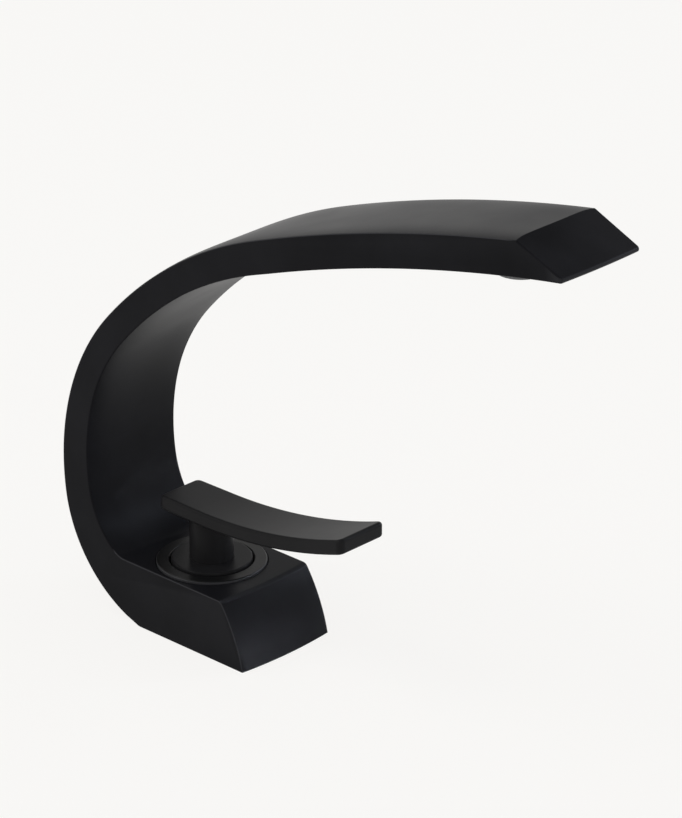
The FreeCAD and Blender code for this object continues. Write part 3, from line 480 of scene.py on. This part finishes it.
def body_shell():
    """Casting without its bores, from slices of the side outline across its width."""
    runs = dict(zip(CORNERS, Crescent().outline()))
    rows, highlight_share = [], []
    for flat, side, drop in cross_slices():
        row = []
        for name, point, share in slice_outline(runs, flat, drop):
            y = flat * (half_width(point.x) - EDGE_ROUND) + side * EDGE_ROUND
            x = point.x
            if name == "front":
                x = TOE_AXIS + math.sqrt((x - TOE_AXIS) ** 2 - y ** 2)
            row.append((x * MM, y * MM, max(0.0, point.y) * MM))
            # Painted highlight along the rounds of the side edges, strongest in their middle
            side_highlight = 0 if name in UNHIGHLIGHTED_RUNS else (2 * abs(side) * (1 - drop)) ** 2
            highlight_share.append(max(share, side_highlight))
        rows.append(row)
    count = len(rows[0])
    faces = []
    for j in range(len(rows) - 1):
        for i in range(count):
            k = (i + 1) % count
            faces.append((j * count + i, (j + 1) * count + i, (j + 1) * count + k, j * count + k))
    last = (len(rows) - 1) * count
    faces.append(tuple(range(count)))
    faces.append(tuple(reversed(range(last, last + count))))
    mesh = bpy.data.meshes.new("body_shell")
    mesh.from_pydata([vert for row in rows for vert in row], [], faces)
    mesh.attributes.new(EDGE_HIGHLIGHT, "FLOAT", "POINT").data.foreach_set("value", highlight_share)
    return mesh


def turned_mesh(name, profile, x=0.0, y=0.0, segments=96):
    """Closed body of revolution round an upright axis, from (radius, height) in millimetres."""
    mesh = bpy.data.meshes.new(name)
    shape = bmesh.new()
    loops = []
    for i in range(segments):
        turn = 2 * math.pi * i / segments
        loops.append([shape.verts.new(((x + r * math.cos(turn)) * MM, (y + r * math.sin(turn)) * MM, z * MM))
                      for r, z in profile])
    for i in range(segments):
        one, two = loops[i], loops[(i + 1) % segments]
        for k in range(len(profile)):
            n = (k + 1) % len(profile)
            if profile[k][0] or profile[n][0]:
                shape.faces.new((one[k], two[k], two[n], one[n]))
    bmesh.ops.remove_doubles(shape, verts=shape.verts, dist=1e-7)
    bmesh.ops.recalc_face_normals(shape, faces=shape.faces)
    shape.to_mesh(mesh)
    shape.free()
    return mesh


# (radius, height) in millimetres. Cartridge place: pocket, nut thread, ledge, ring seat, chamfer and well above
CARTRIDGE_PLACE = [
    (0, 5.5), (12.5, 5.5), (12.5, 16.1), (13.6, 16.1), (13.6, 19.1), (15.4, 19.1), (15.4, 22.5), (20.0, 22.5),
    (20.0, 23.8), (20.4, 24.2), (20.4, 40.0), (0, 40.0)]
# From the nozzle's lower end
NOZZLE_SEAT = [(0, -4), (10.1, -4), (10.1, 7.1), (7.0, 7.1), (7.0, 9.0), (0, 9.0)]
# In the underside: places, radius and depth of the holes; inner and outer radius and depth of the groove
HOSE_PLACES, HOSE_RADIUS, HOSE_DEPTH = [(7.5, -8.5), (7.5, 8.5)], 4.5, 11
STUD_PLACES, STUD_RADIUS, STUD_DEPTH = [(14.0, 0.0)], 3.4, 12
GROOVE_INNER, GROOVE_OUTER, GROOVE_DEPTH = 18.0, 19.9, 1.4
# How far below the deck these cuts start
BELOW = -2


def bores():
    """What is bored out of the casting: cartridge place, nozzle seat, hose and stud holes, gasket groove."""
    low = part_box("aerator_housing")[0][2] / MM
    yield turned_mesh("cartridge_place", CARTRIDGE_PLACE, VALVE_X / MM, segments=144)
    yield turned_mesh("nozzle_seat", [(r, low + z) for r, z in NOZZLE_SEAT], AERATOR_X / MM)
    for name, places, radius, depth in (("hose_hole", HOSE_PLACES, HOSE_RADIUS, HOSE_DEPTH),
                                        ("stud_hole", STUD_PLACES, STUD_RADIUS, STUD_DEPTH)):
        for x, y in places:
            yield turned_mesh(name, [(0, BELOW), (radius, BELOW), (radius, depth), (0, depth)], x, y, segments=48)
    yield turned_mesh("gasket_groove", [(GROOVE_INNER, BELOW), (GROOVE_OUTER, BELOW), (GROOVE_OUTER, GROOVE_DEPTH),
                                        (GROOVE_INNER, GROOVE_DEPTH)])


def make_piece(name, mesh, finish, body, *nodes):
    """Object for a finished mesh that rides on a body and stands for nodes of the frame."""
    piece = bpy.data.objects.new(name, mesh)
    bpy.context.scene.collection.objects.link(piece)
    mesh.materials.clear()
    mesh.materials.append(finishes[finish].material)
    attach(piece, body)
    if nodes:
        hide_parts(*nodes)


def settled(name, obj):
    """Plain mesh of an object with its modifiers applied; the object goes."""
    graph = bpy.context.evaluated_depsgraph_get()
    mesh = bpy.data.meshes.new_from_object(obj.evaluated_get(graph), depsgraph=graph)
    mesh.name = name
    bpy.data.objects.remove(obj)
    return mesh


def smooth_by_angle(mesh, degrees=30):
    """Smooth shading, but for edges sharper than an angle."""
    for face in mesh.polygons:
        face.use_smooth = True
    mesh.set_sharp_from_angle(angle=math.radians(degrees))


def scratch_object(mesh):
    """Object to work on, which settled() or its maker takes away."""
    obj = bpy.data.objects.new(mesh.name, mesh)
    bpy.context.scene.collection.objects.link(obj)
    return obj


def make_body():
    """Crowned casting with its bores, shaded so that the flats stay flat."""
    shell = scratch_object(body_shell())
    tools = [scratch_object(mesh) for mesh in bores()]
    for tool in tools:
        cut = shell.modifiers.new(tool.name, "BOOLEAN")
        cut.operation = "DIFFERENCE"
        cut.solver = "EXACT"
        cut.object = tool
    mesh = settled("bored_shell", shell)
    for tool in tools:
        bpy.data.objects.remove(tool)
    smooth_by_angle(mesh)
    bored = scratch_object(mesh)
    even = bored.modifiers.new("even_flats", "WEIGHTED_NORMAL")
    even.keep_sharp = True
    even.weight = 80
    make_piece("crescent_body", settled("crescent_body", bored), "black_coating", "root", "body")


# Repeated detail

class Pattern:
    """A Geometry Nodes tree under construction, with a named input for each of its sizes."""

    def __init__(self, name, *sizes):
        self.tree = bpy.data.node_groups.new(name, "GeometryNodeTree")
        sockets = self.tree.interface
        sockets.new_socket("Geometry", in_out="INPUT", socket_type="NodeSocketGeometry")
        for size in sizes:
            sockets.new_socket(size, in_out="INPUT", socket_type="NodeSocketFloat")
        sockets.new_socket("Finish", in_out="INPUT", socket_type="NodeSocketMaterial")
        sockets.new_socket("Geometry", in_out="OUTPUT", socket_type="NodeSocketGeometry")
        self.given = self.tree.nodes.new("NodeGroupInput").outputs

    def add(self, kind, **inputs):
        """Node whose inputs, by name with _ for a space, are sockets or plain values."""
        node = self.tree.nodes.new(kind)
        for name, source in inputs.items():
            self.feed(node.inputs[name.replace("_", " ")], source)
        return node

    def feed(self, socket, source):
        if isinstance(source, bpy.types.NodeSocket):
            self.tree.links.new(source, socket)
        else:
            socket.default_value = source

    def math(self, operation, one, two=0.0):
        node = self.tree.nodes.new("ShaderNodeMath")
        node.operation = operation
        self.feed(node.inputs[0], one)
        self.feed(node.inputs[1], two)
        return node.outputs["Value"]

    def vector(self, x=0.0, y=0.0, z=0.0):
        return self.add("ShaderNodeCombineXYZ", X=x, Y=y, Z=z).outputs["Vector"]

    def end(self, *parts):
        """Parts joined, made real and given the finish."""
        joined = self.add("GeometryNodeJoinGeometry")
        for part in parts:
            self.tree.links.new(part, joined.inputs["Geometry"])
        real = self.add("GeometryNodeRealizeInstances", Geometry=joined.outputs["Geometry"])
        dressed = self.add("GeometryNodeSetMaterial", Geometry=real.outputs["Geometry"],
                           Material=self.given["Finish"])
        self.add("NodeGroupOutput", Geometry=dressed.outputs["Geometry"])

    def made(self, name, mesh, finish, **sizes):
        """Plain mesh that the tree gives on a start mesh, with sizes in metres or as counts."""
        obj = scratch_object(mesh)
        work = obj.modifiers.new(name, "NODES")
        work.node_group = self.tree
        for item in self.tree.interface.items_tree:
            if item.in_out == "INPUT" and item.name in sizes:
                work[item.identifier] = sizes[item.name]
            elif item.in_out == "INPUT" and item.name == "Finish":
                work[item.identifier] = finishes[finish].material
        return settled(name, obj)


# Cells along each side of the grid that the jet cells are cut from, and how far their walls overlap
CELLS_ALONG, CELL_OVERLAP = 15, 1.12


def cell_pattern():
    """Six-sided tubes side by side, as far out as their centres stay within the reach."""
    pattern = Pattern("jet_cells", "Reach", "Pitch", "Wall", "Low", "Height")
    given, side = pattern.given, CELLS_ALONG
    span = pattern.math("MULTIPLY", given["Pitch"], side - 1)
    grid = pattern.add("GeometryNodeMeshGrid", Size_X=span, Size_Y=pattern.math("MULTIPLY", span, math.sqrt(0.75)),
                       Vertices_X=side, Vertices_Y=side)
    row = pattern.math("MODULO", pattern.add("GeometryNodeInputIndex").outputs["Index"], float(side))
    odd = pattern.math("MODULO", pattern.math("ABSOLUTE", pattern.math("SUBTRACT", row, side // 2)), 2.0)
    middle = pattern.math("ADD", given["Low"], pattern.math("MULTIPLY", given["Height"], 0.5))
    shift = pattern.math("MULTIPLY", odd, pattern.math("MULTIPLY", given["Pitch"], 0.5))
    laid = pattern.add("GeometryNodeSetPosition", Geometry=grid.outputs["Mesh"],
                       Offset=pattern.vector(shift, 0.0, middle))
    place = pattern.add("GeometryNodeInputPosition").outputs["Position"]
    spot = pattern.add("ShaderNodeSeparateXYZ", Vector=place)
    square = [pattern.math("MULTIPLY", spot.outputs[axis], spot.outputs[axis]) for axis in "XY"]
    far = pattern.math("GREATER_THAN", pattern.math("SQRT", pattern.math("ADD", *square)), given["Reach"])
    near = pattern.add("GeometryNodeDeleteGeometry", Geometry=laid.outputs["Geometry"], Selection=far)
    across = pattern.math("SUBTRACT", given["Pitch"], given["Wall"])
    hexagon = pattern.add("GeometryNodeCurvePrimitiveCircle", Resolution=6,
                          Radius=pattern.math("DIVIDE", across, math.sqrt(3)))
    wall = pattern.add("GeometryNodeCurvePrimitiveQuadrilateral",
                       Width=pattern.math("MULTIPLY", given["Wall"], CELL_OVERLAP), Height=given["Height"])
    tube = pattern.add("GeometryNodeCurveToMesh", Curve=hexagon.outputs["Curve"],
                       Profile_Curve=wall.outputs["Curve"])
    cells = pattern.add("GeometryNodeInstanceOnPoints", Points=near.outputs["Geometry"],
                        Instance=tube.outputs["Mesh"], Rotation=(0, 0, math.radians(30)))
    pattern.end(given["Geometry"], cells.outputs["Instances"])
    return pattern


def rib_pattern():
    """Ribs set round an upright axis on a tapered wall, added to the turned ring that they grip."""
    pattern = Pattern("grip_ribs", "Count", "Radius", "Middle", "Lean", "Width", "Depth", "Length")
    given = pattern.given
    block = pattern.add("GeometryNodeMeshCube",
                        Size=pattern.vector(given["Depth"], given["Width"], given["Length"]))
    rib = pattern.add("GeometryNodeTransform", Geometry=block.outputs["Mesh"],
                      Translation=pattern.vector(given["Radius"], 0.0, given["Middle"]),
                      Rotation=pattern.vector(0.0, given["Lean"], 0.0))
    spots = pattern.add("GeometryNodeMeshLine", Count=given["Count"], Offset=(0, 0, 0))
    step = pattern.math("DIVIDE", 2 * math.pi, given["Count"])
    turn = pattern.math("MULTIPLY", pattern.add("GeometryNodeInputIndex").outputs["Index"], step)
    ribs = pattern.add("GeometryNodeInstanceOnPoints", Points=spots.outputs["Mesh"],
                       Instance=rib.outputs["Geometry"], Rotation=pattern.vector(0.0, 0.0, turn))
    pattern.end(given["Geometry"], ribs.outputs["Instances"])
    return pattern


# Steps of a thread's turn, and the size of its ridge as a share of the pitch
TURN_STEPS, RIDGE = 28, 0.42


def thread_pattern():
    """Thread ridge that winds up the wall of a hole, at every point of the start mesh."""
    pattern = Pattern("hole_thread", "Radius", "Pitch", "Depth")
    given = pattern.given
    helix = pattern.add("GeometryNodeCurveSpiral", Resolution=TURN_STEPS, Start_Radius=given["Radius"],
                        End_Radius=given["Radius"], Height=given["Depth"],
                        Rotations=pattern.math("DIVIDE", given["Depth"], given["Pitch"]))
    ridge = pattern.add("GeometryNodeCurvePrimitiveCircle", Resolution=3,
                        Radius=pattern.math("MULTIPLY", given["Pitch"], RIDGE))
    wound = pattern.add("GeometryNodeCurveToMesh", Curve=helix.outputs["Curve"],
                        Profile_Curve=ridge.outputs["Curve"], Fill_Caps=True)
    threads = pattern.add("GeometryNodeInstanceOnPoints", Points=given["Geometry"], Instance=wound.outputs["Mesh"])
    pattern.end(threads.outputs["Instances"])
    return pattern


# (radius, height) from the nozzle's lower end: the ring, and the rim round the jet cells
NOZZLE_RING = [
    (6.75, 0), (8.3, 0), (8.52, 0.06), (8.68, 0.2), (9.86, 2.6), (9.97, 2.9), (10.0, 3.2), (10.0, 6.5), (7.4, 6.5),
    (7.4, 0.8), (6.6, 0.8), (6.6, 0.15)]
CELL_RIM = [(6.3, 0.95), (6.4, 0.8), (7.3, 0.8), (7.3, 4.8), (6.3, 4.8)]


def make_nozzle():
    """Nozzle ring with grip ribs under the spout, and the grid of jet cells in it."""
    to_spout = Matrix.Translation((AERATOR_X, 0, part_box("aerator_housing")[0][2]))
    ring = rib_pattern().made("nozzle_ring", turned_mesh("nozzle_turning", NOZZLE_RING), "grey_nozzle", Count=40.0,
                              Radius=9.2 * MM, Middle=1.45 * MM, Lean=math.atan2(1.3, 2.6), Width=0.5 * MM,
                              Depth=0.5 * MM, Length=1.9 * MM)
    cells = cell_pattern().made("jet_cells", turned_mesh("cell_rim", CELL_RIM), "grey_nozzle", Reach=6.4 * MM,
                                Pitch=1.5 * MM, Wall=0.17 * MM, Low=1.0 * MM, Height=3.7 * MM)
    for name, mesh, node in (("nozzle_ring", ring, "aerator_housing"), ("jet_cells", cells, "aerator_insert")):
        smooth_by_angle(mesh)
        mesh.transform(to_spout)
        make_piece(name, mesh, "grey_nozzle", "root", node)


# Height of the lowest turn of each thread
THREAD_START = 0.8


def make_threads():
    """Bare threads in the holes of the underside: two for the hoses, one for the stud."""
    for name, places, radius, pitch, depth in (("hose_threads", HOSE_PLACES, 4.62, 1.0, 9.0),
                                               ("stud_thread", STUD_PLACES, 3.55, 1.25, 10.0)):
        spots = bpy.data.meshes.new(name)
        spots.from_pydata([(x * MM, y * MM, THREAD_START * MM) for x, y in places], [], [])
        wound = thread_pattern().made(name, spots, "brass", Radius=radius * MM, Pitch=pitch * MM, Depth=depth * MM)
        smooth_by_angle(wound)
        make_piece(name, wound, "brass", "root")


# Studio

# Strength of the even light, and the heights between which the surround darkens to the ceiling
EVEN_LIGHT, SURROUND = 0.55, (0.40, 0.70)
# Half the floor's side, its place just under the deck, its grey for the light it throws back, and how much of what
# is seen of it is its own tone
FLOOR_HALF, FLOOR_Z, FLOOR_GREY, FLOOR_GLOW = 6.0, -0.05 * MM, (0.6, 0.6, 0.6, 1), 0.90


def shown_or_lit(tree, add, shown, lit, output):
    """Shader for camera, glossy and transmission rays, and another for the rest, fed to an output."""
    path, mix = add("LightPath"), add("MixShader")
    shows = path.outputs["Is Camera Ray"]
    for name in ("Is Glossy Ray", "Is Transmission Ray"):
        most = add("Math")
        most.operation = "MAXIMUM"
        tree.links.new(shows, most.inputs[0])
        tree.links.new(path.outputs[name], most.inputs[1])
        shows = most.outputs["Value"]
    tree.links.new(shows, mix.inputs["Fac"])
    tree.links.new(lit, mix.inputs[1])
    tree.links.new(shown, mix.inputs[2])
    tree.links.new(mix.outputs["Shader"], output.inputs["Surface"])


def world_light():
    """Even soft light; what the camera and the gloss see is a pale surround with a darker ceiling."""
    world = bpy.data.worlds.new("studio")
    bpy.context.scene.world = world
    tree, add = fresh_nodes(world)
    even, seen = add("Background"), add("Background")
    even.inputs["Color"].default_value = (1, 1, 1, 1)
    even.inputs["Strength"].default_value = EVEN_LIGHT
    place, split, ramp = add("TexCoord"), add("SeparateXYZ"), add("ValToRGB")
    tree.links.new(place.outputs["Generated"], split.inputs["Vector"])
    tree.links.new(split.outputs["Z"], ramp.inputs["Fac"])
    for element, height, tone in zip(ramp.color_ramp.elements, SURROUND, (PALE, CEILING)):
        element.position = height
        element.color = tone
    tree.links.new(ramp.outputs["Color"], seen.inputs["Color"])
    shown_or_lit(tree, add, seen.outputs["Background"], even.outputs["Background"], add("OutputWorld"))


def pale_floor():
    """Large plain floor. Rays that show it get mostly its own pale tone, and part of the shadow."""
    half = FLOOR_HALF
    mesh = bpy.data.meshes.new("floor")
    mesh.from_pydata([(-half, -half, 0), (half, -half, 0), (half, half, 0), (-half, half, 0)], [], [(0, 1, 2, 3)])
    floor = bpy.data.objects.new("floor", mesh)
    bpy.context.scene.collection.objects.link(floor)
    floor.location.z = FLOOR_Z
    material = bpy.data.materials.new("pale_floor")
    tree, add = fresh_nodes(material)
    matt, shaded, glow, tone = add("BsdfDiffuse"), add("BsdfDiffuse"), add("Emission"), add("MixShader")
    matt.inputs["Color"].default_value = FLOOR_GREY
    shaded.inputs["Color"].default_value = PALE
    glow.inputs["Color"].default_value = PALE
    glow.inputs["Strength"].default_value = 1.0
    tone.inputs["Fac"].default_value = FLOOR_GLOW
    tree.links.new(shaded.outputs["BSDF"], tone.inputs[1])
    tree.links.new(glow.outputs["Emission"], tone.inputs[2])
    shown_or_lit(tree, add, tone.outputs["Shader"], matt.outputs["BSDF"], add("OutputMaterial"))
    mesh.materials.append(material)


def softbox(name, place, aim, width, height, watts, tint=(1, 1, 1), spread=180):
    """Rectangular lamp at a place, turned to its aim; spread in degrees narrows its beam."""
    light = bpy.data.lights.new(name, "AREA")
    light.spread = math.radians(spread)
    light.color = tint
    light.shape = "RECTANGLE"
    light.size = width
    light.size_y = height
    light.energy = watts
    lamp = bpy.data.objects.new(name, light)
    bpy.context.scene.collection.objects.link(lamp)
    lamp.location = place
    lamp.rotation_euler = (Vector(place) - Vector(aim)).to_track_quat("Z", "Y").to_euler()


def photo_camera():
    """Long lens at the photograph's viewing angle."""
    azimuth, elevation, distance = math.radians(43.466), math.radians(24.729), 1.5
    aside, upwards = 4.65 * MM, 13.43 * MM
    middle = Vector((0.060, 0, 0.090))
    back = Vector((math.sin(azimuth) * math.cos(elevation), -math.cos(azimuth) * math.cos(elevation),
                   math.sin(elevation)))
    right = Vector((math.cos(azimuth), math.sin(azimuth), 0))
    eye = middle + back * distance
    aim = middle - right * aside + back.cross(right) * upwards
    data = bpy.data.cameras.new("camera")
    data.lens = 193.91
    data.clip_end = 100
    camera = bpy.data.objects.new("camera", data)
    bpy.context.scene.collection.objects.link(camera)
    camera.location = eye
    camera.rotation_euler = (eye - aim).to_track_quat("Z", "Y").to_euler()
    bpy.context.scene.camera = camera


dress_cad_nodes()
make_body()
make_nozzle()
make_threads()
world_light()
pale_floor()
softbox("key_softbox", place=(-0.9, -0.7, 1.5), aim=(0.05, 0, 0.08), width=1.0, height=0.8, watts=9.0)
softbox("front_softbox", place=(1.2, 0.62, 0.04), aim=(0.03, 0, 0.0), width=0.5, height=0.05, watts=0.026,
        tint=(0.80, 0.88, 1.0), spread=5)
softbox("cool_softbox", place=(0.62, 1.15, 0.62), aim=(0.03, 0, 0.02), width=0.35, height=0.35, watts=4.5,
        tint=(0.74, 0.83, 1.0))
photo_camera()
bpy.context.scene.view_settings.view_transform = "Standard"
